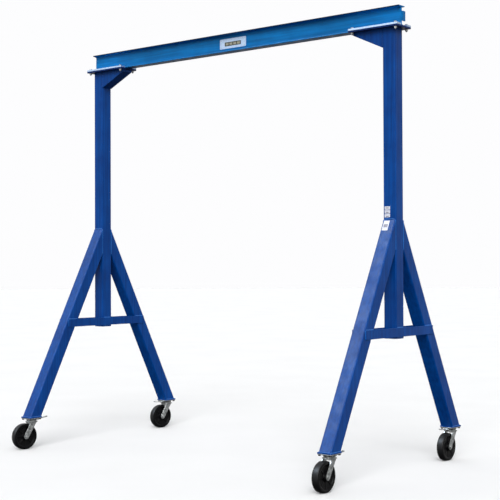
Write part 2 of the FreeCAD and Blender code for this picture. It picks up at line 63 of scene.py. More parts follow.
SIDEWAYS = Matrix(((0, 0, 1, 0), (1, 0, 0, 0), (0, 1, 0, 0), (0, 0, 0, 1)))

Colour = tuple[float, float, float, float]
Point = tuple[float, float]
Node = bpy.types.Node
Tree = bpy.types.NodeTree
Socket = bpy.types.NodeSocket
Material = bpy.types.Material


class Slot(Enum):
    """The material slots of the record."""

    PAINT = "frame_paint"
    ZINC = "zinc_steel"
    WHEEL = "wheel_black"


class Side(Enum):
    """The end of the crane that something belongs to; the value is its sign along X."""

    LEFT = -1
    RIGHT = 1

    @property
    def word(self) -> str:
        """The side as it stands in node names."""
        return self.name.lower()


class Row(Enum):
    """Front or rear; the value is its sign along Y."""

    FRONT = -1
    REAR = 1

    @property
    def word(self) -> str:
        """The row as it stands in node names."""
        return self.name.lower()


def linear(code: str) -> Colour:
    """Turn an sRGB hex colour into the linear colour that shaders take.

    Args:
        code: Six hex digits after a hash, such as "#1C50A5".

    Returns:
        Linear red, green and blue, and an alpha of 1.
    """
    values = [int(code[start:start + 2], 16) / 255 for start in (1, 3, 5)]
    red, green, blue = (v / 12.92 if v <= 0.04045 else ((v + 0.055) / 1.055) ** 2.4 for v in values)
    return red, green, blue, 1.0


def add_node(tree: Tree, kind: str, inputs: dict[Any, Any] | None = None, **settings: Any) -> Node:
    """Add a shader node to a tree, with its settings and links.

    Args:
        tree: The tree that gets the node.
        kind: Blender's name for the type of node, without the "ShaderNode" in front.
        inputs: For each input, by name or number, a socket, a node that stands for its first output, or a
            value.
        settings: Properties of the node.

    Returns:
        The new node.
    """
    node = tree.nodes.new(f"ShaderNode{kind}")
    for name, value in settings.items():
        setattr(node, name, value)
    for name, value in (inputs or {}).items():
        source = value.outputs[0] if isinstance(value, Node) else value
        if isinstance(source, Socket):
            tree.links.new(source, node.inputs[name])
        else:
            node.inputs[name].default_value = source
    return node


def set_ramp(node: Node, stops: Sequence[tuple[float, Colour]]) -> None:
    """Give a colour ramp its stops.

    Args:
        node: The colour ramp.
        stops: Pairs of a place from 0 to 1 and the colour there, in order.
    """
    elements = node.color_ramp.elements
    while len(elements) < len(stops):
        elements.new(1.0)
    for element, (place, colour) in zip(elements, stops):
        element.position = place
        element.color = colour


def per_metre(millimetres: float) -> float:
    """The texture scale whose pattern repeats about once in the given number of millimetres."""
    return 1000.0 / millimetres


def two_tones(
    tree: Tree,
    place: Socket,
    patch_mm: float,
    tones: dict[float, str],
    detail: float = 3.0,
    swirl: float = 0.0,
) -> tuple[Node, Node]:
    """Spread two tones over a surface in soft patches.

    Args:
        tree: The material's tree.
        place: The socket that gives the place on the object.
        patch_mm: About how far apart the patches are.
        tones: The hex colour at each of two values of the pattern, lower value first.
        detail: How much fine structure the patches have.
        swirl: How far the patches are drawn out of shape.

    Returns:
        The node that gives the pattern, and the one that gives the colour.
    """
    noise = {"Vector": place, "Scale": per_metre(patch_mm), "Detail": detail, "Distortion": swirl}
    pattern = add_node(tree, "TexNoise", noise)
    colour = add_node(tree, "ValToRGB", {"Fac": pattern})
    set_ramp(colour, [(stop, linear(code)) for stop, code in tones.items()])
    return pattern, colour


@dataclass(frozen=True)
class Finish:
    """A surface finish, which makes its own node material."""

    name: str

    def shade(self, tree: Tree) -> Node:
        """Add the finish's nodes.

        Args:
            tree: The material's tree.

        Returns:
            The shader.
        """
        raise NotImplementedError

    def make(self) -> Material:
        """Build the node material."""
        material = bpy.data.materials.new(self.name)
        material.use_nodes = True
        tree = material.node_tree
        tree.nodes.clear()
        add_node(tree, "OutputMaterial", {"Surface": self.shade(tree)})
        return material


@dataclass(frozen=True)
class MachineEnamel(Finish):
    """Alkyd machine enamel, sprayed in one coat over mill steel.

    To the eye it is a deep semi-gloss blue with a faint orange-peel skin.  It looks a little deeper where the
    film is thick, and a little chalky where dust has settled on faces that look up.
    """

    film: str
    thick_film: str
    dust: str = "#4C7FC4"
    roughness: float = 0.34
    specular: float = 0.13
    film_patch_mm: float = 170.0
    # Orange peel has a pitch of about 2 mm; it is drawn at 5 mm so that it shows.
    peel_mm: float = 5.0
    peel_height_m: float = 0.0005
    dust_patch_mm: float = 60.0
    # Passes of the spray gun leave faint streaks along each member.
    streak_mm: float = 16.0
    streak_stretch: tuple[float, float, float] = (1.0, 1.0, 0.03)
    streak_depth: float = 0.17
    # The film turns dark over the last few millimetres of the upper flange's width: painted shade on the
    # rolled tips of the beam.
    tip_shade: str = ""
    tip_middle_y_mm: float = 0.0
    tip_from_mm: float = 0.0
    tip_full_mm: float = 0.0
    tip_above_mm: float = 0.0

    def shade(self, tree: Tree) -> Node:
        """Add the finish's nodes.

        Args:
            tree: The material's tree.

        Returns:
            The shader.
        """
        place = add_node(tree, "TexCoord").outputs["Object"]
        film = two_tones(tree, place, self.film_patch_mm, {0.36: self.thick_film, 0.62: self.film}, 4.0)[1]
        lanes = add_node(tree, "Mapping", {"Vector": place, "Scale": self.streak_stretch})
        noise = {"Vector": lanes, "Scale": per_metre(self.streak_mm), "Detail": 3.0}
        streaks = add_node(tree, "TexNoise", noise)
        thin, thick = 1.0 - self.streak_depth, 1.0 + self.streak_depth
        span = {"From Min": 0.35, "From Max": 0.65, "To Min": thin, "To Max": thick}
        depth = add_node(tree, "MapRange", {"Value": streaks, **span})
        paint = add_node(tree, "VectorMath", {0: film, "Scale": depth}, operation="SCALE").outputs[0]
        if self.tip_shade:
            paint = self.paint_tip_shade(tree, place, paint)
        noise = {"Vector": place, "Scale": per_metre(self.dust_patch_mm), "Detail": 6.0}
        specks = add_node(tree, "TexNoise", noise)
        normal = add_node(tree, "NewGeometry").outputs["Normal"]
        upward = add_node(tree, "SeparateXYZ", {"Vector": normal}).outputs["Z"]
        span = {"From Min": 0.5, "From Max": 1.0, "To Max": 0.6}
        settled = add_node(tree, "MapRange", {"Value": upward, **span})
        share = add_node(tree, "Math", {0: settled, 1: specks}, operation="MULTIPLY")
        dusty = add_node(tree, "Mix", {"Factor": share, 6: paint, 7: linear(self.dust)}, data_type="RGBA")
        smooth, rough = self.roughness - 0.05, self.roughness + 0.09
        span = {"From Min": 0.3, "From Max": 0.7, "To Min": smooth, "To Max": rough}
        gloss = add_node(tree, "MapRange", {"Value": specks, **span})
        peel = add_node(tree, "TexNoise", {"Vector": place, "Scale": per_metre(self.peel_mm), "Detail": 2.0})
        skin = add_node(tree, "Bump", {"Height": peel, "Strength": 0.4, "Distance": self.peel_height_m})
        surface = {"Base Color": dusty.outputs[2], "Roughness": gloss, "Normal": skin}
        return add_node(tree, "BsdfPrincipled", {**surface, "IOR": 1.5, "Specular IOR Level": self.specular})

    def paint_tip_shade(self, tree: Tree, place: Socket, paint: Socket) -> Socket:
        """Paint shade onto the tips of the upper flange, turning the film dark there.

        Args:
            tree: The material's tree.
            place: The socket that gives the place on the object.
            paint: The colour of the film.

        Returns:
            The colour with the painted shade on the tips.
        """
        split = add_node(tree, "SeparateXYZ", {"Vector": place})
        sideways = {0: split.outputs["Y"], 1: self.tip_middle_y_mm * MM}
        off = add_node(tree, "Math", sideways, operation="SUBTRACT")
        reach = add_node(tree, "Math", {0: off}, operation="ABSOLUTE")
        span = {"From Min": self.tip_from_mm * MM, "From Max": self.tip_full_mm * MM}
        share = add_node(tree, "MapRange", {"Value": reach, **span})
        over = {0: split.outputs["Z"], 1: self.tip_above_mm * MM}
        upper = add_node(tree, "Math", over, operation="GREATER_THAN")
        both = add_node(tree, "Math", {0: share, 1: upper}, operation="MULTIPLY")
        tones = {"Factor": both, 6: paint, 7: linear(self.tip_shade)}
        return add_node(tree, "Mix", tones, data_type="RGBA").outputs[2]


@dataclass(frozen=True)
class ZincPlate(Finish):
    """Bright zinc plating on pressed or cut steel.

    To the eye it is a soft grey metal.  Its shine wanders from patch to patch, with a fine rolling grain.
    """

    bright: str
    dull: str
    roughness: float = 0.36
    spangle_mm: float = 14.0
    # Rolling lines are finer than 0.2 mm; they are drawn at 1.5 mm so that they show.
    grain_mm: float = 1.5
    grain_stretch: tuple[float, float, float] = (1.0, 1.0, 0.08)
    grain_height_m: float = 0.0002

    def shade(self, tree: Tree) -> Node:
        """Add the finish's nodes.

        Args:
            tree: The material's tree.

        Returns:
            The shader.
        """
        place = add_node(tree, "TexCoord").outputs["Object"]
        patches, colour = two_tones(tree, place, self.spangle_mm, {0.35: self.dull, 0.65: self.bright})
        rough, smooth = self.roughness + 0.12, self.roughness - 0.06
        span = {"From Min": 0.3, "From Max": 0.7, "To Min": rough, "To Max": smooth}
        gloss = add_node(tree, "MapRange", {"Value": patches, **span})
        rolled = add_node(tree, "Mapping", {"Vector": place, "Scale": self.grain_stretch})
        noise = {"Vector": rolled, "Scale": per_metre(self.grain_mm), "Detail": 2.0}
        grain = add_node(tree, "TexNoise", noise)
        skin = add_node(tree, "Bump", {"Height": grain, "Strength": 0.12, "Distance": self.grain_height_m})
        surface = {"Base Color": colour, "Roughness": gloss, "Normal": skin}
        return add_node(tree, "BsdfPrincipled", {**surface, "Metallic": 1.0})


@dataclass(frozen=True)
class BlackPhenolic(Finish):
    """Macerated phenolic resin, pressed hot in a polished mould.

    To the eye it is a glossy near-black with faint grey flow marks.  The rolling tread is scuffed to a greyer
    satin.
    """

    resin: str
    flow_mark: str
    roughness: float
    specular: float
    flow_mm: float = 24.0
    grit_mm: float = 2.5
    grit_height_m: float = 0.0003

    def shade(self, tree: Tree) -> Node:
        """Add the finish's nodes.

        Args:
            tree: The material's tree.

        Returns:
            The shader.
        """
        place = add_node(tree, "TexCoord").outputs["Object"]
        colour = two_tones(tree, place, self.flow_mm, {0.45: self.resin, 0.75: self.flow_mark}, 5.0, 1.2)[1]
        grit = add_node(tree, "TexNoise", {"Vector": place, "Scale": per_metre(self.grit_mm), "Detail": 3.0})
        span = {"To Min": self.roughness - 0.06, "To Max": self.roughness + 0.1}
        gloss = add_node(tree, "MapRange", {"Value": grit, **span})
        skin = add_node(tree, "Bump", {"Height": grit, "Strength": 0.1, "Distance": self.grit_height_m})
        surface = {"Base Color": colour, "Roughness": gloss, "Normal": skin}
        return add_node(tree, "BsdfPrincipled", {**surface, "IOR": 1.58, "Specular IOR Level": self.specular})


@dataclass(frozen=True)
class PrintedFilm(Finish):
    """Blank label stock: printed vinyl or lacquered sheet with nothing written on it.

    To the eye it is a flat, even tint that is a little mottled and slightly satin.
    """

    tint: str
    mottle: str
    roughness: float = 0.42
    mottle_mm: float = 9.0
    mottle_height_m: float = 0.0002

    def shade(self, tree: Tree) -> Node:
        """Add the finish's nodes.

        Args:
            tree: The material's tree.

        Returns:
            The shader.
        """
        place = add_node(tree, "TexCoord").outputs["Object"]
        patches, colour = two_tones(tree, place, self.mottle_mm, {0.35: self.mottle, 0.6: self.tint})
        skin = add_node(tree, "Bump", {"Height": patches, "Strength": 0.05, "Distance": self.mottle_height_m})
        surface = {"Base Color": colour, "Roughness": self.roughness, "Normal": skin}
        return add_node(tree, "BsdfPrincipled", surface)


@dataclass(frozen=True)
class MattBoard(Finish):
    """Matt white painted board, which gives the eye a plain pale ground with a soft shadow."""

    board: str
    patch: str
    patch_mm: float = 900.0

    def shade(self, tree: Tree) -> Node:
        """Add the finish's nodes.

        Args:
            tree: The material's tree.

        Returns:
            The shader.
        """
        place = add_node(tree, "TexCoord").outputs["Object"]
        colour = two_tones(tree, place, self.patch_mm, {0.3: self.patch, 0.7: self.board}, 2.0)[1]
        return add_node(tree, "BsdfDiffuse", {"Color": colour})


@dataclass(frozen=True)
class LitCloth(Finish):
    """Evenly lit cloth, which to the eye is a plain pale ground without any shading."""

    colour: str

    def shade(self, tree: Tree) -> Node:
        """Add the finish's only node, its shader."""
        return add_node(tree, "Emission", {"Color": linear(self.colour), "Strength": 1.0})


def made(finish: Finish) -> Any:
    """A dataclass field whose material is made along with its owner."""
    return field(default_factory=finish.make)


BEAM_ENAMEL = MachineEnamel(
    "alkyd_enamel_beam_blue",
    "#0072B6",
    "#0068A8",
    dust="#4C84C0",
    streak_stretch=(0.03, 1.0, 1.0),
    # The tip colour is painted shade on the upper flange's tips.
    tip_shade="#021530",
    tip_middle_y_mm=52.5,
    tip_from_mm=37.0,
    tip_full_mm=39.4,
    tip_above_mm=3150.0,
)


@dataclass
class Finishes:
    """Every finish of the crane, made once."""

    beam_enamel: Material = made(BEAM_ENAMEL)
    frame_enamel: Material = made(MachineEnamel("alkyd_enamel_frame_blue", "#004594", "#003C87"))
    # The saddle's enamel is a darker copy of the frame's: painted shade on the plate under the beam.
    saddle_enamel: Material = made(MachineEnamel("alkyd_enamel_saddle_painted_shade", "#062A66", "#04235A", "#2F558E"))
    # The weld enamel is a lighter copy of the frame's, with a paler dust tone: painted highlight along the leg
    # and brace beads.
    weld_highlight_enamel: Material = made(MachineEnamel("alkyd_enamel_welds_painted_highlight", "#2468B8", "#1758A6", "#86A6CE"))
    zinc: Material = made(ZincPlate("zinc_plated_pressed_steel", "#C6C9C9", "#8A8D8D"))
    bright_zinc: Material = made(ZincPlate("zinc_plated_bright_bar", "#D3E3F8", "#BCD1EE", 0.5))
    fastener_zinc: Material = made(ZincPlate("zinc_plated_fasteners", "#D4D6D6", "#AEB1B1", 0.3))
    # The caster bolts are a darker grey than the other fasteners: painted shade under the foot plates.
    black_oxide: Material = made(ZincPlate("black_oxide_bolts", "#4A4B50", "#37383C", 0.45))
    resin: Material = made(BlackPhenolic("black_phenolic_moulded", "#030304", "#0B0B0F", 0.36, 0.12))
    tread: Material = made(BlackPhenolic("black_phenolic_rolled_tread", "#08080A", "#15151A", 0.42, 0.3))
    label_metal: Material = made(PrintedFilm("anodised_aluminium_sheet", "#C8DDF6", "#B0CCEC"))
    label_panel: Material = made(PrintedFilm("dark_olive_lacquer_panel", "#34382F", "#262A24"))
    label_field: Material = made(PrintedFilm("tan_lacquer_field", "#A39F88", "#8B8874"))
    label_vinyl: Material = made(PrintedFilm("white_vinyl_label", "#E4E8F4", "#D3D8E8"))
    label_band: Material = made(PrintedFilm("grey_vinyl_band", "#86808F", "#6F6A7A"))


@dataclass
class Shape:
    """A mesh that is put together in millimetres, and then set down in the crane's frame."""

    name: str
    finish: list[Material]
    mesh: bmesh.types.BMesh = field(default_factory=bmesh.new)

    def lathe(
        self,
        profile: Sequence[Point],
        steps: int,
        where: Matrix,
        material: int = 0,
        lift: Callable[[float, float, float], float] | None = None,
        tread_from: float | None = None,
        smooth: bool = True,
    ) -> None:
        """Turn a closed outline about the local Z axis.

        Args:
            profile: Radius and height of each corner, going round once.
            steps: Number of facets round.
            where: Turns and moves the shape from its own axes.
            material: Number of the finish in the list.
            lift: Gives a height from the radius, height and angle of a point.
            tread_from: Radius beyond which the next finish in the list is used.
            smooth: Whether the faces are shaded as one curve.
        """
        rings = []
        for step in range(steps):
            angle = 2 * math.pi * step / steps
            ring = []
            for radius, height in profile:
                up = lift(radius, height, angle) if lift else height
                ring.append(self.mesh.verts.new(where @ polar(radius, angle, up)))
            rings.append(ring)
        count = len(profile)
        for step in range(steps):
            here, there = rings[step], rings[(step + 1) % steps]
            for index in range(count):
                after = (index + 1) % count
                face = self.mesh.faces.new((here[index], there[index], there[after], here[after]))
                face.smooth = smooth
                face.material_index = material
                if tread_from is not None and min(profile[index][0], profile[after][0]) >= tread_from:
                    face.material_index = material + 1

    def band(
        self, first: Sequence[Any], second: Sequence[Any], material: int = 0, smooth: bool = False
    ) -> None:
        """Join two like rings of mesh corners by a band of faces.

        Args:
            first: Corners of one ring.
            second: Corners of the other.
            material: Number of the finish in the list.
            smooth: Whether the band is shaded as one curve.
        """
        for index in range(len(first)):
            after = (index + 1) % len(first)
            face = self.mesh.faces.new((first[index], first[after], second[after], second[index]))
            face.smooth = smooth
            face.material_index = material

    def stack(
        self, rings: Sequence[Sequence[Vector]], where: Matrix, material: int = 0, smooth: bool = False
    ) -> None:
        """Join a stack of like rings into a closed solid, with a flat cap at each end.

        Args:
            rings: Rings with the same number of points each, from one end to the other.
            where: Turns and moves the shape from its own axes.
            material: Number of the finish in the list.
            smooth: Whether the sides are shaded as one curve.
        """
        corners = [[self.mesh.verts.new(where @ point) for point in ring] for ring in rings]
        for lower, upper in zip(corners, corners[1:]):
            self.band(lower, upper, material, smooth)
        for cap in (list(reversed(corners[0])), corners[-1]):
            self.mesh.faces.new(cap).material_index = material

    def rod(
        self, levels: Sequence[Point], steps: int, where: Matrix, material: int = 0, smooth: bool = False
    ) -> None:
        """Build a round solid about the local Z axis.

        Args:
            levels: Height and radius of each step along it.
            steps: Number of facets round.
            where: Turns and moves the shape from its own axes.
            material: Number of the finish in the list.
            smooth: Whether the sides are shaded as one curve.
        """
        rings = []
        for height, radius in levels:
            rings.append([Vector((x, y, height)) for x, y in circle(radius, steps=steps)])
        self.stack(rings, where, material, smooth)

    def slab(
        self, outline: Sequence[Point], thickness: float, edge: float, where: Matrix, material: int = 0
    ) -> None:
        """Build a plate from a convex outline, with both its rims eased.

        Args:
            outline: Corners in the local XY plane, going round once.
            thickness: Height along local Z, from 0 up.
            edge: Size of the eased rim.
            where: Turns and moves the shape from its own axes.
            material: Number of the finish in the list.
        """
        inset = inset_outline(outline, edge)
        fall = edge * ROUND_FALL
        half = inset_outline(outline, fall)
        lower = ((inset, 0.0), (half, fall), (outline, edge))
        levels = lower + ((outline, thickness - edge), (half, thickness - fall), (inset, thickness))
        self.stack([[Vector((x, y, z)) for x, y in ring] for ring, z in levels], where, material)

    def holed_plate(
        self, outline: Sequence[Point], holes: Sequence[Sequence[Point]], thickness: float, where: Matrix,
        edge: float = 0.0,
    ) -> None:
        """Build a plate with round holes through it.

        Args:
            outline: Corners in the local XY plane, going round once.
            holes: The outline of each hole.
            thickness: Height along local Z, centred on 0.
            where: Turns and moves the shape from its own axes.
            edge: Size of the eased rims.
        """
        levels = ((edge, thickness / 2), (0.0, thickness / 2 - edge))
        loops = [(outline, -1.0)] + [(hole, 1.0) for hole in holes]
        rims: list[list[list[bmesh.types.BMVert]]] = [[], [], [], []]
        for loop, grow in loops:
            for level, (inset, height) in enumerate(levels):
                ring = inset_outline(loop, -grow * inset)
                for flip, number in ((1.0, level), (-1.0, 3 - level)):
                    rims[number].append(
                        [self.mesh.verts.new(where @ Vector((x, y, flip * height))) for x, y in ring]
                    )
        for upper, lower in zip(rims, rims[1:]):
            for first, second in zip(upper, lower):
                self.band(first, second)
        for number in (0, 3):
            edges = []
            for ring in rims[number]:
                for index, vertex in enumerate(ring):
                    ends = (vertex, ring[(index + 1) % len(ring)])
                    edges.append(self.mesh.edges.get(ends) or self.mesh.edges.new(ends))
            bmesh.ops.triangle_fill(self.mesh, use_beauty=True, use_dissolve=False, edges=edges)

    def bead(self, path: Sequence[Sequence[float]], radius: float, ripple_mm: float = 5.0) -> None:
        """Lay a weld bead along a path: a round tube with a ripple for each drop of filler.

        Args:
            path: Corners of the path, in millimetres in the crane's frame.
            radius: Radius of the bead.
            ripple_mm: Length of one ripple.
        """
        points, tangents, runs = walk([Vector(corner) for corner in path], ripple_mm / 4)
        rings = []
        for point, tangent, run in zip(points, tangents, runs):
            guide = Vector((0, 0, 1)) if abs(tangent.z) < 0.9 else Vector((0, 1, 0))
            sideways = tangent.cross(guide).normalized()
            upright = tangent.cross(sideways)
            swell = radius * (0.9 + 0.14 * abs(math.sin(math.pi * run / ripple_mm)))
            from_end = min(run, runs[-1] - run)
            swell *= min(1.0, 0.45 + 0.55 * from_end / (radius * 1.2))
            rings.append([point + sideways * x + upright * y for x, y in circle(swell, steps=8)])
        self.stack(rings, Matrix.Identity(4), smooth=True)

    def hexagon(self, across_flats: float, height: float, where: Matrix, material: int = 0) -> None:
        """Build a hexagonal head or nut with both faces chamfered round.

        Args:
            across_flats: Width from flat to flat.
            height: Height along local Z, from 0 up.
            where: Turns and moves the shape from its own axes.
            material: Number of the finish in the list.
        """
        flat = across_flats / 2
        steps = 36
        face_radius = flat * 0.96
        chamfer = math.tan(math.radians(30))
        rims: list[list[Vector]] = [[], [], [], []]
        for step in range(steps):
            angle = 2 * math.pi * step / steps
            off_flat = (angle + math.pi / 6) % (math.pi / 3) - math.pi / 6
            reach = flat / math.cos(off_flat)
            fall = (reach - face_radius) * chamfer
            levels = ((face_radius, 0.0), (reach, fall), (reach, height - fall), (face_radius, height))
            for rim, (radius, rise) in zip(rims, levels):
                rim.append(polar(radius, angle, rise))
        self.stack(rims, where, material)

    def finish_piece(self, body: str, replaces: str | None = None) -> None:
        """Turn the mesh into an object that rides on a body.

        Args:
            body: The body that it moves with.
            replaces: The node that it stands for, if any.
        """
        bmesh.ops.recalc_face_normals(self.mesh, faces=self.mesh.faces)
        for vertex in self.mesh.verts:
            vertex.co *= MM
        data = bpy.data.meshes.new(self.name)
        self.mesh.to_mesh(data)
        self.mesh.free()
        for material in self.finish:
            data.materials.append(material)
        piece = bpy.data.objects.new(self.name, data)
        bpy.context.scene.collection.objects.link(piece)
        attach(piece, body)
        if replaces is not None:
            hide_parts(replaces)
        LOG.info("%s: %d faces on %s", self.name, len(data.polygons), body)


def polar(radius: float, angle: float, height: float) -> Vector:
    """The point at a radius, an angle and a height about the local Z axis."""
    return Vector((radius * math.cos(angle), radius * math.sin(angle), height))


def inset_outline(outline: Sequence[Point], distance: float) -> list[Point]:
    """Move each corner of a counterclockwise outline inwards, so that every side moves by the same distance.

    Args:
        outline: Corners, going round once counterclockwise.
        distance: How far the sides move in; a negative distance moves them out.

    Returns:
        The moved corners.
    """
    count = len(outline)
    moved = []
    for index in range(count):
        before, here, after = (Vector(outline[(index + shift) % count]) for shift in (-1, 0, 1))
        first, second = (here - before).normalized(), (after - here).normalized()
        first_in, second_in = Vector((-first.y, first.x)), Vector((-second.y, second.x))
        middle = first_in + second_in
        scale = distance / max(0.2, (1 + first_in.dot(second_in)))
        corner = here + middle * scale
        moved.append((corner.x, corner.y))
    return moved


def round_rectangle(width: float, height: float, radius: float, steps: int = 5) -> list[Point]:
    """The outline of a rectangle with round corners, centred on 0, counterclockwise.

    Args:
        width: Size along X.
        height: Size along Y.
        radius: Radius of the corners.
        steps: Facets of each corner.

    Returns:
        The corners of the outline.
    """
    points = []
    for quarter, (sign_x, sign_y) in enumerate(((1, 1), (-1, 1), (-1, -1), (1, -1))):
        middle_x, middle_y = sign_x * (width / 2 - radius), sign_y * (height / 2 - radius)
        for step in range(steps + 1):
            angle = math.pi / 2 * (quarter + step / steps)
            points.append((middle_x + radius * math.cos(angle), middle_y + radius * math.sin(angle)))
    return points


def circle(radius: float, middle: Point = (0.0, 0.0), steps: int = 24) -> list[Point]:
    """The outline of a circle, counterclockwise."""
    turns = [2 * math.pi * step / steps for step in range(steps)]
    return [(middle[0] + radius * math.cos(turn), middle[1] + radius * math.sin(turn)) for turn in turns]


def round_u(open_at: float, closed_at: float, low: float, high: float, ease: float) -> list[Point]:
    """The path round three sides of a tube, past two of its round corners.

    Args:
        open_at: Where both ends are, along the first axis.
        closed_at: Where the side between the corners is, along the first axis.
        low: Where the path starts, along the second axis.
        high: Where it ends, along the second axis.
        ease: Radius of the corners.

    Returns:
        The corners of the path.
    """
    inward = math.copysign(ease, open_at - closed_at)
    half = [(open_at, low), (closed_at + inward, low)]
    half += [(closed_at + inward * EASED, low + ease * EASED), (closed_at, low + ease)]
    return half + [(along, low + high - across) for along, across in reversed(half)]


def walk(path: Sequence[Vector], step: float) -> tuple[list[Vector], list[Vector], list[float]]:
    """Walk along a path in short even steps.

    Args:
        path: Corners of the path.
        step: About how long each step is.

    Returns:
        The places, the directions of travel there, and the distances walked.
    """
    places, headings, runs = [], [], []
    walked = 0.0
    for start, end in zip(path, path[1:]):
        leg = end - start
        count = max(2, round(leg.length / step))
        first = 0 if not places else 1
        for index in range(first, count + 1):
            places.append(start + leg * (index / count))
            headings.append(leg.normalized())
            runs.append(walked + leg.length * index / count)
        walked += leg.length
    smooth = []
    for index in range(len(headings)):
        near = headings[max(0, index - 2):index + 3]
        smooth.append(sum(near, Vector((0, 0, 0))).normalized())
    return places, smooth, runs


def aim(middle: Vector, along: Vector, around: float = 0.0) -> Matrix:
    """The placement that sets local Z along a direction.

    Args:
        middle: Where the local origin goes, in millimetres.
        along: Where local Z points.
        around: Turn about that direction, in degrees.

    Returns:
        The placement.
    """
    turn = along.to_track_quat("Z", "Y").to_matrix().to_4x4()
    return Matrix.Translation(middle) @ turn @ Matrix.Rotation(math.radians(around), 4, "Z")


def box_mm(node: str) -> tuple[Vector, Vector]:
    """The lowest and highest corner of a node, in millimetres."""
    low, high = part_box(node)
    return low / MM, high / MM


def dress(node: str, material: Material, ease: float = 0.0) -> None:
    """Give a node that keeps its own solid a finish, and ease its sharp edges.

    Args:
        node: The node's name.
        material: The finish.
        ease: Size of the eased edges in millimetres, or 0 to leave them.
    """
    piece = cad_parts[node]
    for place in piece.material_slots:
        place.material = material
    LOG.info("%s: %s", node, material.name)
    if ease:
        weld = piece.modifiers.new("join_faces", "WELD")
        weld.merge_threshold = JOIN_WITHIN
        bevel = piece.modifiers.new("ease_edges", "BEVEL")
        bevel.width = ease * MM
        bevel.segments = 3
        bevel.limit_method = "ANGLE"
        bevel.angle_limit = math.radians(40)


@dataclass(frozen=True)
class Fastener:
    """A metric hexagon bolt with its washers and nut, in millimetres."""

    thread: float
    flats: float
    head: float
    nut: float
    washer: float
    washer_thick: float
    pitch: float

    def washer_profile(self) -> list[Point]:
        """The turned outline of a flat washer with eased rims."""
        inner, outer, thick = self.thread / 2 - 0.4, self.washer / 2, self.washer_thick
        ease = thick * 0.2
        rim = [(outer - ease, 0), (outer, ease), (outer, thick - ease), (outer - ease, thick)]
        return [(inner, 0), *rim, (inner, thick)]

    def add_head(
        self, shape: Shape, seat: Vector, outward: Vector, around: float, height: float | None = None
    ) -> None:
        """Add a hexagon on its washer.

        Args:
            shape: The mesh that gets it.
            seat: Where the bolt's axis meets the surface.
            outward: Which way the hexagon stands off the surface.
            around: Turn of the hexagon, in degrees.
            height: Height of the hexagon, if it isn't a bolt's head.
        """
        shape.lathe(self.washer_profile(), 28, aim(seat, outward), smooth=False)
        where = aim(seat + outward * self.washer_thick, outward, around)
        shape.hexagon(self.flats, height or self.head, where)

    def add_nut(self, shape: Shape, seat: Vector, outward: Vector, around: float, spare: float) -> None:
        """Add a nut on its washer, with the end of the thread standing out of it.

        Args:
            shape: The mesh that gets it.
            seat: Where the bolt's axis meets the surface.
            outward: Which way the nut stands off the surface.
            around: Turn of the hexagon, in degrees.
            spare: Length of thread beyond the nut.
        """
        self.add_head(shape, seat, outward, around, self.nut)
        buried = 0.6 * self.nut
        crest, root = self.thread / 2, self.thread / 2 - 0.55 * self.pitch
        turns = max(1, int((self.nut * 0.4 + spare) / self.pitch))
        levels = [(0.0, crest)]
        for turn in range(turns):
            levels.append((self.pitch * (turn + 0.5), root))
            levels.append((self.pitch * (turn + 1), crest if turn < turns - 1 else root))
        shape.rod(levels, 20, aim(seat + outward * (self.washer_thick + buried), outward))


M12 = Fastener(thread=12.0, flats=18.0, head=7.5, nut=10.8, washer=24.0, washer_thick=2.5, pitch=1.75)
M10 = Fastener(thread=10.0, flats=16.0, head=6.4, nut=8.4, washer=20.0, washer_thick=2.0, pitch=1.5)
AXLE_BOLT = Fastener(thread=12.0, flats=18.2, head=6.4, nut=6.4, washer=23.0, washer_thick=1.6, pitch=1.75)


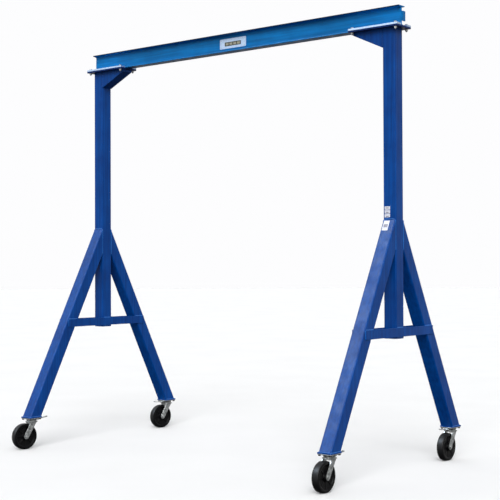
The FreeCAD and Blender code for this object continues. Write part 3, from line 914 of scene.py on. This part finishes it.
@dataclass
class Beam:
    """The rolled beam with its trolley stops, their welds and the blank plate on its web."""

    finishes: Finishes
    web: float = 5.5
    stop_fillet: float = 2.6
    plate_width: float = 258.0
    plate_height: float = 76.0
    plate_thick: float = 1.4
    plate_middle_x: float = 3.0
    plate_middle_z: float = 3129.0
    panel_width: float = 160.0
    panel_height: float = 30.0
    panel_drop: float = 4.0
    field_count: int = 4
    field_pitch: float = 37.0
    rivet: float = 6.0
    rivet_inset: float = 11.0

    def build(self) -> None:
        """Dress the solids and add the small pieces."""
        self.dress()
        self.build_stop_welds()
        self.build_plate()

    def dress(self) -> None:
        """Paint the beam and its stops."""
        dress("beam", self.finishes.beam_enamel, 1.6)
        for side in Side:
            dress(f"{side.word}_beam_stop", self.finishes.beam_enamel, 1.5)

    def build_stop_welds(self) -> None:
        """Lay a bead down each side of a stop where there is web beside it."""
        beam_end = box_mm("beam")[1].x
        beads = Shape("beam_stop_welds", [self.finishes.beam_enamel])
        for side in Side:
            low, high = box_mm(f"{side.word}_beam_stop")
            for across in (low.x, high.x):
                if abs(across) < beam_end:
                    beads.bead([(across, low.y, low.z + 1), (across, low.y, high.z - 1)], self.stop_fillet)
        beads.finish_piece("frame")

    def build_plate(self) -> None:
        """Fix a blank plate to the front of the web, with a dark panel of empty fields and four rivets."""
        low, high = box_mm("beam")
        face_y = (low.y + high.y) / 2 - self.web / 2
        forward = Vector((0, -1, 0))
        seat = Vector((self.plate_middle_x, face_y, self.plate_middle_z))
        made_of = self.finishes
        stock = [made_of.label_metal, made_of.label_panel, made_of.fastener_zinc, made_of.label_field]
        plate = Shape("blank_rating_plate", stock)
        outline = round_rectangle(self.plate_width, self.plate_height, 6.0)
        plate.slab(outline, self.plate_thick, 0.4, Matrix.Translation(seat) @ UPRIGHT)
        panel_seat = seat + forward * (self.plate_thick - 0.1) - Vector((0, 0, self.panel_drop))
        outline = round_rectangle(self.panel_width, self.panel_height, 3.0)
        plate.slab(outline, 0.6, 0.2, Matrix.Translation(panel_seat) @ UPRIGHT, 1)
        for index in range(self.field_count):
            across = (index - (self.field_count - 1) / 2) * self.field_pitch
            field_seat = panel_seat + forward * 0.5 + Vector((across, 0, 0))
            outline = round_rectangle(self.field_pitch - 9.0, self.panel_height - 12.0, 2.0)
            plate.slab(outline, 0.3, 0.1, Matrix.Translation(field_seat) @ UPRIGHT, 3)
        reach = Vector((self.plate_width / 2 - self.rivet_inset, 0, self.plate_height / 2 - self.rivet_inset))
        for across in BOTH:
            for up in BOTH:
                place = seat + forward * (self.plate_thick - 0.2)
                place += Vector((across * reach.x, 0, up * reach.z))
                plate.rod(self.rivet_levels(), 16, aim(place, forward), 2, smooth=True)
        plate.finish_piece("frame")

    def rivet_levels(self) -> list[Point]:
        """Height and radius of a low domed rivet head at steps from its rim to near its top."""
        rises = [math.radians(20 * step) for step in range(5)]
        return [(0.4 * self.rivet * math.sin(rise), self.rivet / 2 * math.cos(rise)) for rise in rises]


@dataclass
class EndFrame:
    """One end frame: post, raking legs, braces, knee and saddle, with its welds and bolts."""

    side: Side
    finishes: Finishes
    tube: float = 100.0
    corner: float = 10.0
    lean_deg: float = 27.5
    fillet: float = 4.2
    foot_fillet: float = 3.4
    seam: float = 5.0
    seam_inset: float = 3.0
    bolt_half_span_x: float = 175.0
    bolt_half_span_y: float = 72.0

    def build(self) -> None:
        """Dress the solids and add the small pieces."""
        self.dress()
        self.build_saddle_bolts()
        self.build_top_welds()
        self.build_leg_welds()
        self.build_brace_welds()
        if self.side is Side.RIGHT:
            self.build_labels()

    def node(self, name: str) -> str:
        """The full name of one of this frame's nodes."""
        return f"{self.side.word}_{name}"

    def dress(self) -> None:
        """Paint the steelwork and plate the keeper bars."""
        for name in ("post", "front_leg", "rear_leg"):
            dress(self.node(name), self.finishes.frame_enamel)
        dress(self.node("saddle_plate"), self.finishes.saddle_enamel, 1.2)
        for name in ("gusset", "inner_brace", "outer_brace", "front_foot_plate", "rear_foot_plate"):
            dress(self.node(name), self.finishes.frame_enamel, 1.2)
        dress(self.node("keeper_bars"), self.finishes.bright_zinc, 0.8)

    def build_saddle_bolts(self) -> None:
        """Bolt the keeper bars to the saddle near its four corners."""
        low, high = box_mm(self.node("saddle_plate"))
        top = box_mm(self.node("keeper_bars"))[1].z
        middle = (low + high) / 2
        bolts = Shape(self.node("saddle_bolts"), [self.finishes.fastener_zinc])
        for across in BOTH:
            for row in Row:
                x = middle.x + across * self.bolt_half_span_x
                y = middle.y + row.value * self.bolt_half_span_y
                turn = 17.0 * across + 29.0 * row.value
                M12.add_head(bolts, Vector((x, y, top)), Vector((0, 0, 1)), turn)
                M12.add_nut(bolts, Vector((x, y, low.z)), Vector((0, 0, -1)), turn + 11.0, 7.0)
        bolts.finish_piece("frame")

    def build_top_welds(self) -> None:
        """Lay the beads round the post's top and the knee."""
        post_low, post_high = box_mm(self.node("post"))
        knee_low, knee_high = box_mm(self.node("gusset"))
        top = post_high.z
        sign = self.side.value
        inner_x = post_low.x if sign > 0 else post_high.x
        outer_x = post_high.x if sign > 0 else post_low.x
        tip_x = knee_low.x if sign > 0 else knee_high.x
        beads = Shape(self.node("top_welds"), [self.finishes.frame_enamel])
        ease = self.corner
        around = round_u(inner_x, outer_x, post_low.y, post_high.y, ease)
        beads.bead([(x, y, top) for x, y in around], self.fillet)
        for y, inward in ((knee_low.y, 1), (knee_high.y, -1)):
            beads.bead([(inner_x, y, top), (tip_x, y, top)], self.fillet)
            seam_y = y + inward * self.seam_inset
            beads.bead([(inner_x, seam_y, knee_low.z + 2), (inner_x, seam_y, top - 3)], self.seam)
        low_z = knee_low.z
        beads.bead([(inner_x, knee_low.y + ease, low_z), (inner_x, knee_high.y - ease, low_z)], self.fillet)
        beads.finish_piece("frame")

    def build_leg_welds(self) -> None:
        """Lay the beads where the legs meet the post and the foot plates."""
        depth = self.tube / math.cos(math.radians(self.lean_deg))
        rise = depth / math.tan(math.radians(self.lean_deg))
        beads = Shape(self.node("leg_welds"), [self.finishes.weld_highlight_enamel])
        for row in Row:
            low, high = box_mm(self.node(f"{row.word}_leg"))
            sign = row.value
            post_y = low.y if sign > 0 else high.y
            foot_y = high.y if sign > 0 else low.y
            middle_x = (low.x + high.x) / 2
            half = self.tube / 2
            for across in BOTH:
                x = middle_x + across * (half - self.seam_inset)
                beads.bead([(x, post_y, high.z - rise + 4), (x, post_y, high.z - 6)], self.seam)
            reach = half - self.corner
            for z in (high.z, high.z - rise):
                beads.bead([(middle_x - reach, post_y, z), (middle_x + reach, post_y, z)], self.fillet)
            inner_y = foot_y - sign * (depth - 4)
            around = round_u(inner_y, foot_y, middle_x - half, middle_x + half, self.corner)
            beads.bead([(x, y, low.z) for y, x in around], self.foot_fillet)
        beads.finish_piece("frame")

    def build_brace_welds(self) -> None:
        """Lay the beads along the braces where they cross the legs and the post."""
        beads = Shape(self.node("brace_welds"), [self.finishes.weld_highlight_enamel])
        post_low, post_high = box_mm(self.node("post"))
        slope = math.tan(math.radians(self.lean_deg))
        depth = self.tube / math.cos(math.radians(self.lean_deg))
        ease = self.corner
        for name in ("inner_brace", "outer_brace"):
            low, high = box_mm(self.node(name))
            near_post = low.x if abs(low.x - post_high.x) < 1.0 else high.x
            for z in (low.z, high.z):
                spans = [(post_low.y + ease, post_high.y - ease)]
                for row in Row:
                    leg_low, leg_high = box_mm(self.node(f"{row.word}_leg"))
                    foot_y = leg_high.y if row is Row.REAR else leg_low.y
                    outer = foot_y - row.value * (z - leg_low.z) * slope
                    inner = outer - row.value * depth
                    ends = sorted((outer - row.value * ease, inner + row.value * ease))
                    spans.append((max(ends[0], low.y), min(ends[1], high.y)))
                for start, end in spans:
                    beads.bead([(near_post, start, z), (near_post, end, z)], self.fillet)
            for y in (low.y, high.y):
                beads.bead([(near_post, y, low.z + 2), (near_post, y, high.z - 2)], self.foot_fillet)
        beads.finish_piece("frame")

    def build_labels(self) -> None:
        """Stick three small blank labels on the post, and one with a grey panel on the front leg."""
        post_low = box_mm(self.node("post"))[0]
        leg_top = box_mm(self.node("front_leg"))[1].z
        labels = Shape("blank_labels", [self.finishes.label_vinyl, self.finishes.label_band])
        left = post_low.x + self.corner
        for index in range(3):
            seat = Vector((left + 23.0, post_low.y, leg_top + 24.0 + 26.0 * index))
            where = Matrix.Translation(seat) @ UPRIGHT
            labels.slab(round_rectangle(44.0, 23.0, 2.0), 0.5, 0.15, where)
            band = Matrix.Translation(seat + Vector((0, -0.4, -5.0 if index < 2 else 0.0))) @ UPRIGHT
            labels.slab(round_rectangle(22.0, 5.0, 1.0), 0.3, 0.1, band, 1)
        lean = math.radians(self.lean_deg)
        down = Vector((0, -math.sin(lean), -math.cos(lean)))
        outward = Vector((0, -math.cos(lean), math.sin(lean)))
        top = Vector((left + 24.0, post_low.y, leg_top))
        tilt = Matrix((Vector((1, 0, 0)), -down, outward)).transposed().to_4x4()
        for width, height, fall, rise, material in ((46.0, 76.0, 50.0, 0.0, 0), (34.0, 26.0, 52.0, 0.4, 1)):
            seat = top + down * fall + outward * rise
            outline = round_rectangle(width, height, 2.0)
            labels.slab(outline, 0.5, 0.15, Matrix.Translation(seat) @ tilt, material)
        labels.finish_piece("frame")


@dataclass
class Caster:
    """One swivel caster: top plate and race, fork, axle, wheel and lock lever."""

    side: Side
    row: Row
    finishes: Finishes
    plate_thick: float = 6.0
    plate_corner: float = 9.0
    race_gap: float = 1.0
    dome_height: float = 8.0
    crown_thick: float = 6.5
    nut_height: float = 9.6
    axle_radius: float = 5.9
    axle_hole: float = 6.4
    rib_end: float = 78.0
    race_radius: float = 42.0
    dome_radius: float = 38.0
    crown_radius: float = 47.5
    kingpin_radius: float = 8.0
    kingpin_flats: float = 22.5
    arm_gap: float = 61.0
    arm_thick: float = 6.0
    arm_top: float = 52.0
    boss_radius: float = 20.0
    arm_hole: float = 5.0
    hub_radius: float = 28.0
    hub_half: float = 29.5
    disc_half: float = 15.0
    tread_half: float = 25.0
    rib_count: int = 8
    rib_half: float = 3.4
    rib_height: float = 3.0
    lock_width: float = 22.0
    ear_thick: float = 3.0
    ear_width: float = 15.0
    ear_fall: float = 6.975
    ear_gap: float = 0.8
    pin_radius: float = 3.0
    pin_drop: float = 9.0
    pin_inset: float = 2.0
    bolt_x: float = 42.0
    bolt_y: float = 49.0

    def __post_init__(self) -> None:
        """Read the places that the other pieces are built round."""
        self.label = f"{self.side.word}_{self.row.word}"
        foot_low, foot_high = box_mm(f"{self.label}_foot_plate")
        self.axis = (foot_low + foot_high) / 2
        self.plate_low, self.plate_high = box_mm(f"{self.label}_caster_plate")
        wheel_low, wheel_high = box_mm(f"{self.label}_wheel")
        self.axle = (wheel_low + wheel_high) / 2
        self.trail = math.hypot(self.axis.x - self.axle.x, self.axis.y - self.axle.y)
        self.rest = math.atan2(self.axis.x - self.axle.x, self.axis.y - self.axle.y)
        self.fork_high = box_mm(f"{self.label}_fork")[1]
        self.foot_width = foot_high.x - foot_low.x
        self.foot_depth = foot_high.y - foot_low.y

    def build(self) -> None:
        """Build and dress every piece."""
        self.build_top()
        self.build_bolts()
        self.build_fork()
        self.build_axle()
        self.build_wheel()
        self.dress_lever()

    def at_axis(self, height: float) -> Matrix:
        """The placement on the swivel axis at a height."""
        return Matrix.Translation(Vector((self.axis.x, self.axis.y, height)))

    def with_fork(self) -> Matrix:
        """The placement on the swivel axis at the floor, turned as the fork stands at rest."""
        return self.at_axis(0.0) @ Matrix.Rotation(-self.rest, 4, "Z")

    def at_wheel(self) -> Matrix:
        """The placement in the middle of the wheel, turned with the fork."""
        return self.with_fork() @ Matrix.Translation(Vector((0.0, -self.trail, self.axle.z)))

    def build_top(self) -> None:
        """Build the top plate with its race, kingpin and the ears and pin of the swivel lock."""
        top = Shape(f"{self.label}_caster_top", [self.finishes.zinc, self.finishes.fastener_zinc])
        plate_bottom = self.plate_high.z - self.plate_thick
        outline = round_rectangle(self.foot_width, self.foot_depth, self.plate_corner)
        top.slab(outline, self.plate_thick, 0.9, self.at_axis(plate_bottom))
        race_bottom = self.fork_high.z + self.race_gap
        race_depth = plate_bottom - race_bottom
        outer = self.race_radius
        pin = self.kingpin_radius
        profile = [
            (pin, 0.0),
            (outer - 5.0, 0.0),
            (outer - 1.5, 0.4),
            (outer - 0.3, 1.6),
            (outer, 3.0),
            (outer - 0.4, 4.4),
            (outer - 2.5, 5.4),
            (outer - 4.5, 6.6),
            (outer - 5.0, 8.4),
            (outer - 4.4, race_depth - 0.8),
            (outer - 2.0, race_depth),
            (pin, race_depth),
        ]
        top.lathe(profile, 64, self.at_axis(race_bottom))
        nut_bottom = self.plate_low.z
        top.hexagon(self.kingpin_flats, self.nut_height, self.at_axis(nut_bottom), 1)
        shank = [(0.0, pin - 1.2), (1.0, pin), (plate_bottom - nut_bottom, pin)]
        top.rod(shank, 32, self.at_axis(nut_bottom), 1, smooth=True)
        self.add_lock_ears(top, plate_bottom)
        top.finish_piece("frame", f"{self.label}_caster_plate")

    def add_lock_ears(self, top: Shape, plate_bottom: float) -> None:
        """Add the two ears under the plate and the pin that the lever turns on.

        Args:
            top: The mesh that gets them.
            plate_bottom: Height of the plate's lower face.
        """
        y = self.axis.y - self.row.value * (self.foot_depth / 2 - self.pin_inset)
        z = plate_bottom - self.pin_drop
        half = self.ear_width / 2
        turns = [math.radians(degrees) for degrees in range(195, 346, 15)]
        outline = [(-half, self.pin_drop), (-half, 0.0)]
        outline += [(half * math.cos(turn), self.ear_fall * math.sin(turn)) for turn in turns]
        outline += [(half, 0.0), (half, self.pin_drop)]
        first = self.lock_width / 2 + self.ear_gap
        for x in (first, -first - self.ear_thick):
            place = Matrix.Translation(Vector((self.axis.x + x, y, z)))
            top.slab(outline, self.ear_thick, 0.5, place @ SIDEWAYS)
        length = self.lock_width + 2 * self.ear_gap + 4 * self.ear_thick
        radius = self.pin_radius
        levels = [(0.0, radius - 0.8), (0.6, radius), (length - 0.6, radius), (length, radius - 0.8)]
        end = Vector((self.axis.x - length / 2, y, z))
        top.rod(levels, 24, aim(end, Vector((1, 0, 0))), 1, smooth=True)

    def build_bolts(self) -> None:
        """Bolt the caster to the foot plate near its corners, from below."""
        bolts = Shape(f"{self.label}_plate_bolts", [self.finishes.black_oxide])
        bottom = self.plate_high.z - self.plate_thick
        for across in BOTH:
            for along in BOTH:
                seat = Vector((self.axis.x + across * self.bolt_x, self.axis.y + along * self.bolt_y, bottom))
                M10.add_head(bolts, seat, Vector((0, 0, -1)), 13.0 * across + 23.0 * along)
        bolts.finish_piece("frame")

    def arm_outline(self) -> list[Point]:
        """The side outline of a fork arm in Y and Z, counterclockwise, round the swivel axis."""
        crown_top = self.fork_high.z - self.dome_height
        half = self.arm_top / 2
        rake = math.atan2(self.trail, crown_top - self.crown_thick - self.axle.z)
        boss = Vector((-self.trail, self.axle.z))
        first, last = math.pi - rake, 2 * math.pi - rake
        outline = []
        for step in range(13):
            turn = first + (last - first) * step / 12
            across, up = self.boss_radius * math.cos(turn), self.boss_radius * math.sin(turn)
            outline.append((boss.x + across, boss.y + up))
        outline += [(half, crown_top - 3.0), (half - 3.0, crown_top)]
        return outline + [(3.0 - half, crown_top), (-half, crown_top - 3.0)]

    def build_fork(self) -> None:
        """Build the pressed fork: crown, raised race dome and two raked arms."""
        fork = Shape(f"{self.label}_pressed_fork", [self.finishes.zinc])
        dome_top = self.fork_high.z
        crown_top = dome_top - self.dome_height
        crown_bottom = crown_top - self.crown_thick
        pin = self.kingpin_radius + 0.4
        crown, dome = self.crown_radius, self.dome_radius
        profile = [
            (pin, crown_bottom),
            (crown - 2.0, crown_bottom),
            (crown - 0.5, crown_bottom + 0.6),
            (crown, crown_bottom + 2.2),
            (crown, crown_top - 2.2),
            (crown - 0.6, crown_top - 0.7),
            (crown - 2.4, crown_top),
            (dome + 2.6, crown_top),
            (dome + 0.8, crown_top + 0.8),
            (dome, crown_top + 2.6),
            (dome, dome_top - 2.6),
            (dome - 0.9, dome_top - 0.8),
            (dome - 3.0, dome_top),
            (pin, dome_top),
        ]
        fork.lathe(profile, 64, self.with_fork())
        outline = self.arm_outline()
        back = self.trail
        hole_z = (crown_bottom + self.axle.z) / 2
        holes = [circle(self.arm_hole, (-back / 2, hole_z)), circle(self.axle_hole, (-back, self.axle.z))]
        for across in BOTH:
            middle = Vector((across * (self.arm_gap + self.arm_thick) / 2, 0.0, 0.0))
            where = self.with_fork() @ Matrix.Translation(middle) @ SIDEWAYS
            fork.holed_plate(outline, holes, self.arm_thick, where, 0.8)
        fork.finish_piece(f"{self.label}_swivel_body", f"{self.label}_fork")

    def build_axle(self) -> None:
        """Build the axle bolt, its washers and its nut."""
        axle = Shape(f"{self.label}_axle_bolt", [self.finishes.fastener_zinc])
        half = self.arm_gap / 2 + self.arm_thick
        middle = self.at_wheel().translation
        right = (self.with_fork().to_3x3() @ Vector((1, 0, 0))).normalized()
        levels = [(-half - 1.0, self.axle_radius), (half + 1.0, self.axle_radius)]
        axle.rod(levels, 32, aim(middle, right), smooth=True)
        AXLE_BOLT.add_head(axle, middle + right * half, right, 8.0 + 13.0 * self.row.value)
        AXLE_BOLT.add_nut(axle, middle - right * half, -right, 21.0 - 9.0 * self.row.value, 3.5)
        axle.finish_piece(f"{self.label}_swivel_body", f"{self.label}_axle")

    def rib_lift(self, radius: float, height: float, angle: float) -> float:
        """Raise the wheel's discs into radial ribs.

        Args:
            radius: Distance from the axle.
            height: Distance from the wheel's middle plane.
            angle: Angle about the axle.

        Returns:
            The height with the ribs added.
        """
        if not self.hub_radius + 2.0 < radius < self.rib_end or abs(height) > self.disc_half + 3.0:
            return height
        spacing = 2 * math.pi / self.rib_count
        off_rib = abs((angle + spacing / 2) % spacing - spacing / 2) * radius
        share = min(1.0, max(0.0, (self.rib_half + 1.6 - off_rib) / 2.4))
        share = share * share * (3 - 2 * share)
        return height + math.copysign(self.rib_height * share, height)

    def wheel_profile(self) -> list[Point]:
        """The turned outline of the wheel: radius from the axle and distance from the middle plane."""
        outside = self.axle.z
        half = self.tread_half
        hub_half = self.hub_half
        right = [
            (9.0, hub_half),
            (self.hub_radius - 3.0, hub_half),
            (self.hub_radius - 0.9, hub_half - 0.9),
            (self.hub_radius, hub_half - 3.0),
            (self.hub_radius, self.disc_half + 4.0),
            (self.hub_radius + 1.0, self.disc_half + 1.4),
            (self.hub_radius + 3.6, self.disc_half),
            *((radius, self.disc_half) for radius in (36.0, 44.0, 52.0, 60.0, 68.0, 73.0)),
            (75.6, self.disc_half + 1.2),
            (77.4, self.disc_half + 4.0),
            (78.6, half - 2.6),
            (80.4, half - 0.8),
            (82.8, half),
            (outside - 7.0, half),
            (outside - 4.2, half - 0.7),
            (outside - 2.0, half - 2.6),
            (outside - 0.8, half - 5.6),
            (outside - 0.25, half - 11.0),
            (outside, half - 18.0),
        ]
        return right + [(radius, -height) for radius, height in reversed(right)]

    def build_wheel(self) -> None:
        """Build the moulded wheel with its ribs, scuffed tread and steel bushing."""
        stock = [self.finishes.resin, self.finishes.tread, self.finishes.fastener_zinc]
        wheel = Shape(f"{self.label}_moulded_wheel", stock)
        across = self.at_wheel() @ Matrix.Rotation(math.pi / 2, 4, "Y")
        wheel.lathe(self.wheel_profile(), 192, across, lift=self.rib_lift, tread_from=self.axle.z - 5.0)
        hub_half = self.hub_half
        bushing = [(6.1, -hub_half), (8.9, -hub_half), (8.9, hub_half), (6.1, hub_half)]
        wheel.lathe(bushing, 40, across, 2, smooth=False)
        wheel.finish_piece(f"{self.label}_wheel_body", f"{self.label}_wheel")

    def dress_lever(self) -> None:
        """Plate the lock lever."""
        dress(f"{self.label}_lock_lever", self.finishes.zinc, 0.7)


@dataclass
class Studio:
    """The pale floor, the soft light and the camera."""

    facets: int = 96
    floor_radius: float = 70.0
    backdrop_radius: float = 69.0
    backdrop_colour: str = "#FDFDFE"
    sun_strength: float = 2.25
    sun_from: tuple[float, float, float] = (0.42, -0.62, 0.56)
    sun_spread_deg: float = 38.0
    side_strength: float = 2.2
    side_from: tuple[float, float, float] = (-0.48, -0.53, 0.7)
    side_spread_deg: float = 22.0
    sky_top: float = 0.75
    sky_side: float = 0.55
    sky_below: float = 0.05
    camera_place: tuple[float, float, float] = (5.64017, -6.73425, 1.41768)
    yaw_deg: float = 38.913
    pitch_deg: float = 0.835
    roll_deg: float = -0.197
    lens_mm: float = 83.37
    sensor_mm: float = 36.0

    def build(self) -> None:
        """Build everything that isn't the crane."""
        self.build_floor()
        self.build_backdrop()
        self.build_sky()
        self.build_lamps()
        self.build_camera()

    def build_floor(self) -> None:
        """Lay a round floor, which takes shadows but throws no light back on the crane."""
        mesh = bmesh.new()
        bmesh.ops.create_circle(mesh, cap_ends=True, radius=self.floor_radius, segments=self.facets)
        self.stand(mesh, "floor", MattBoard("matt_white_floor", "#F3F4F5", "#F0F1F2"))

    def build_backdrop(self) -> None:
        """Stand a plain pale wall far behind, which only the eye sees."""
        wall = Shape("backdrop", [])
        rims = []
        for height in (-1.0, 45.0):
            outline = circle(self.backdrop_radius, steps=self.facets)
            rims.append([wall.mesh.verts.new((x, y, height)) for x, y in outline])
        wall.band(*rims)
        cloth = LitCloth("lit_white_cloth", self.backdrop_colour)
        self.stand(wall.mesh, "backdrop", cloth).visible_shadow = False

    def stand(self, mesh: bmesh.types.BMesh, name: str, finish: Finish) -> bpy.types.Object:
        """Make something of the room, which neither lights the crane nor shows in its gloss.

        Args:
            mesh: Its mesh, in metres.
            name: Its name.
            finish: Its finish.

        Returns:
            The new object.
        """
        data = bpy.data.meshes.new(name)
        mesh.to_mesh(data)
        mesh.free()
        data.materials.append(finish.make())
        thing = bpy.data.objects.new(name, data)
        bpy.context.scene.collection.objects.link(thing)
        thing.visible_diffuse = False
        thing.visible_glossy = False
        return thing

    def build_sky(self) -> None:
        """Light the room softly from above and the sides, and only faintly from below."""
        world = bpy.data.worlds.new("soft_room")
        bpy.context.scene.world = world
        world.use_nodes = True
        tree = world.node_tree
        tree.nodes.clear()
        place = add_node(tree, "TexCoord").outputs["Generated"]
        height = add_node(tree, "SeparateXYZ", {"Vector": place}).outputs["Z"]
        share = add_node(tree, "MapRange", {"Value": height, "From Min": -1.0, "From Max": 1.0})
        ramp = add_node(tree, "ValToRGB", {"Fac": share})
        levels = ((0.3, self.sky_below), (0.42, self.sky_side), (1.0, self.sky_top))
        set_ramp(ramp, [(stop, (level, level, level, 1.0)) for stop, level in levels])
        light = add_node(tree, "Background", {"Color": ramp, "Strength": 1.0})
        add_node(tree, "OutputWorld", {"Surface": light})

    def build_lamps(self) -> None:
        """Hang one very broad lamp high in front, and one to the left that only puts a sheen on the paint."""
        lamps = (
            ("broad_softbox", self.sun_strength, self.sun_spread_deg, self.sun_from, "#FFFFFF", True),
            ("side_softbox", self.side_strength, self.side_spread_deg, self.side_from, "#E0F0FF", False),
        )
        for name, strength, spread, source, tint, lights_all in lamps:
            lamp = bpy.data.lights.new(name, "SUN")
            lamp.color = linear(tint)[:3]
            lamp.energy = strength
            lamp.angle = math.radians(spread)
            holder = bpy.data.objects.new(name, lamp)
            holder.rotation_euler = Vector(source).to_track_quat("Z", "Y").to_euler()
            holder.visible_diffuse = lights_all
            bpy.context.scene.collection.objects.link(holder)

    def build_camera(self) -> None:
        """Stand the camera at eye height, in front of the crane's right end."""
        yaw, pitch, roll = (math.radians(value) for value in (self.yaw_deg, self.pitch_deg, self.roll_deg))
        ahead = Vector((-math.sin(yaw) * math.cos(pitch), math.cos(yaw) * math.cos(pitch), math.sin(pitch)))
        right = Vector((math.cos(yaw), math.sin(yaw), 0.0))
        upward = right.cross(ahead)
        rolled_right = right * math.cos(roll) + upward * math.sin(roll)
        rolled_up = upward * math.cos(roll) - right * math.sin(roll)
        data = bpy.data.cameras.new("eye")
        data.lens = self.lens_mm
        data.sensor_width = self.sensor_mm
        data.clip_start, data.clip_end = 0.1, 300.0
        camera = bpy.data.objects.new("eye", data)
        bpy.context.scene.collection.objects.link(camera)
        turn = Matrix((rolled_right, rolled_up, -ahead)).transposed().to_4x4()
        camera.matrix_world = Matrix.Translation(Vector(self.camera_place)) @ turn
        bpy.context.scene.camera = camera
        bpy.context.scene.view_settings.view_transform = "Standard"


def main() -> None:
    """Build the room, the beam, both end frames and the four casters."""
    logging.basicConfig(level=logging.INFO, format="%(name)s %(message)s")
    Studio().build()
    finishes = Finishes()
    Beam(finishes).build()
    for side in Side:
        EndFrame(side, finishes).build()
        for row in Row:
            Caster(side, row, finishes).build()


if __name__ == "__main__":
    main()
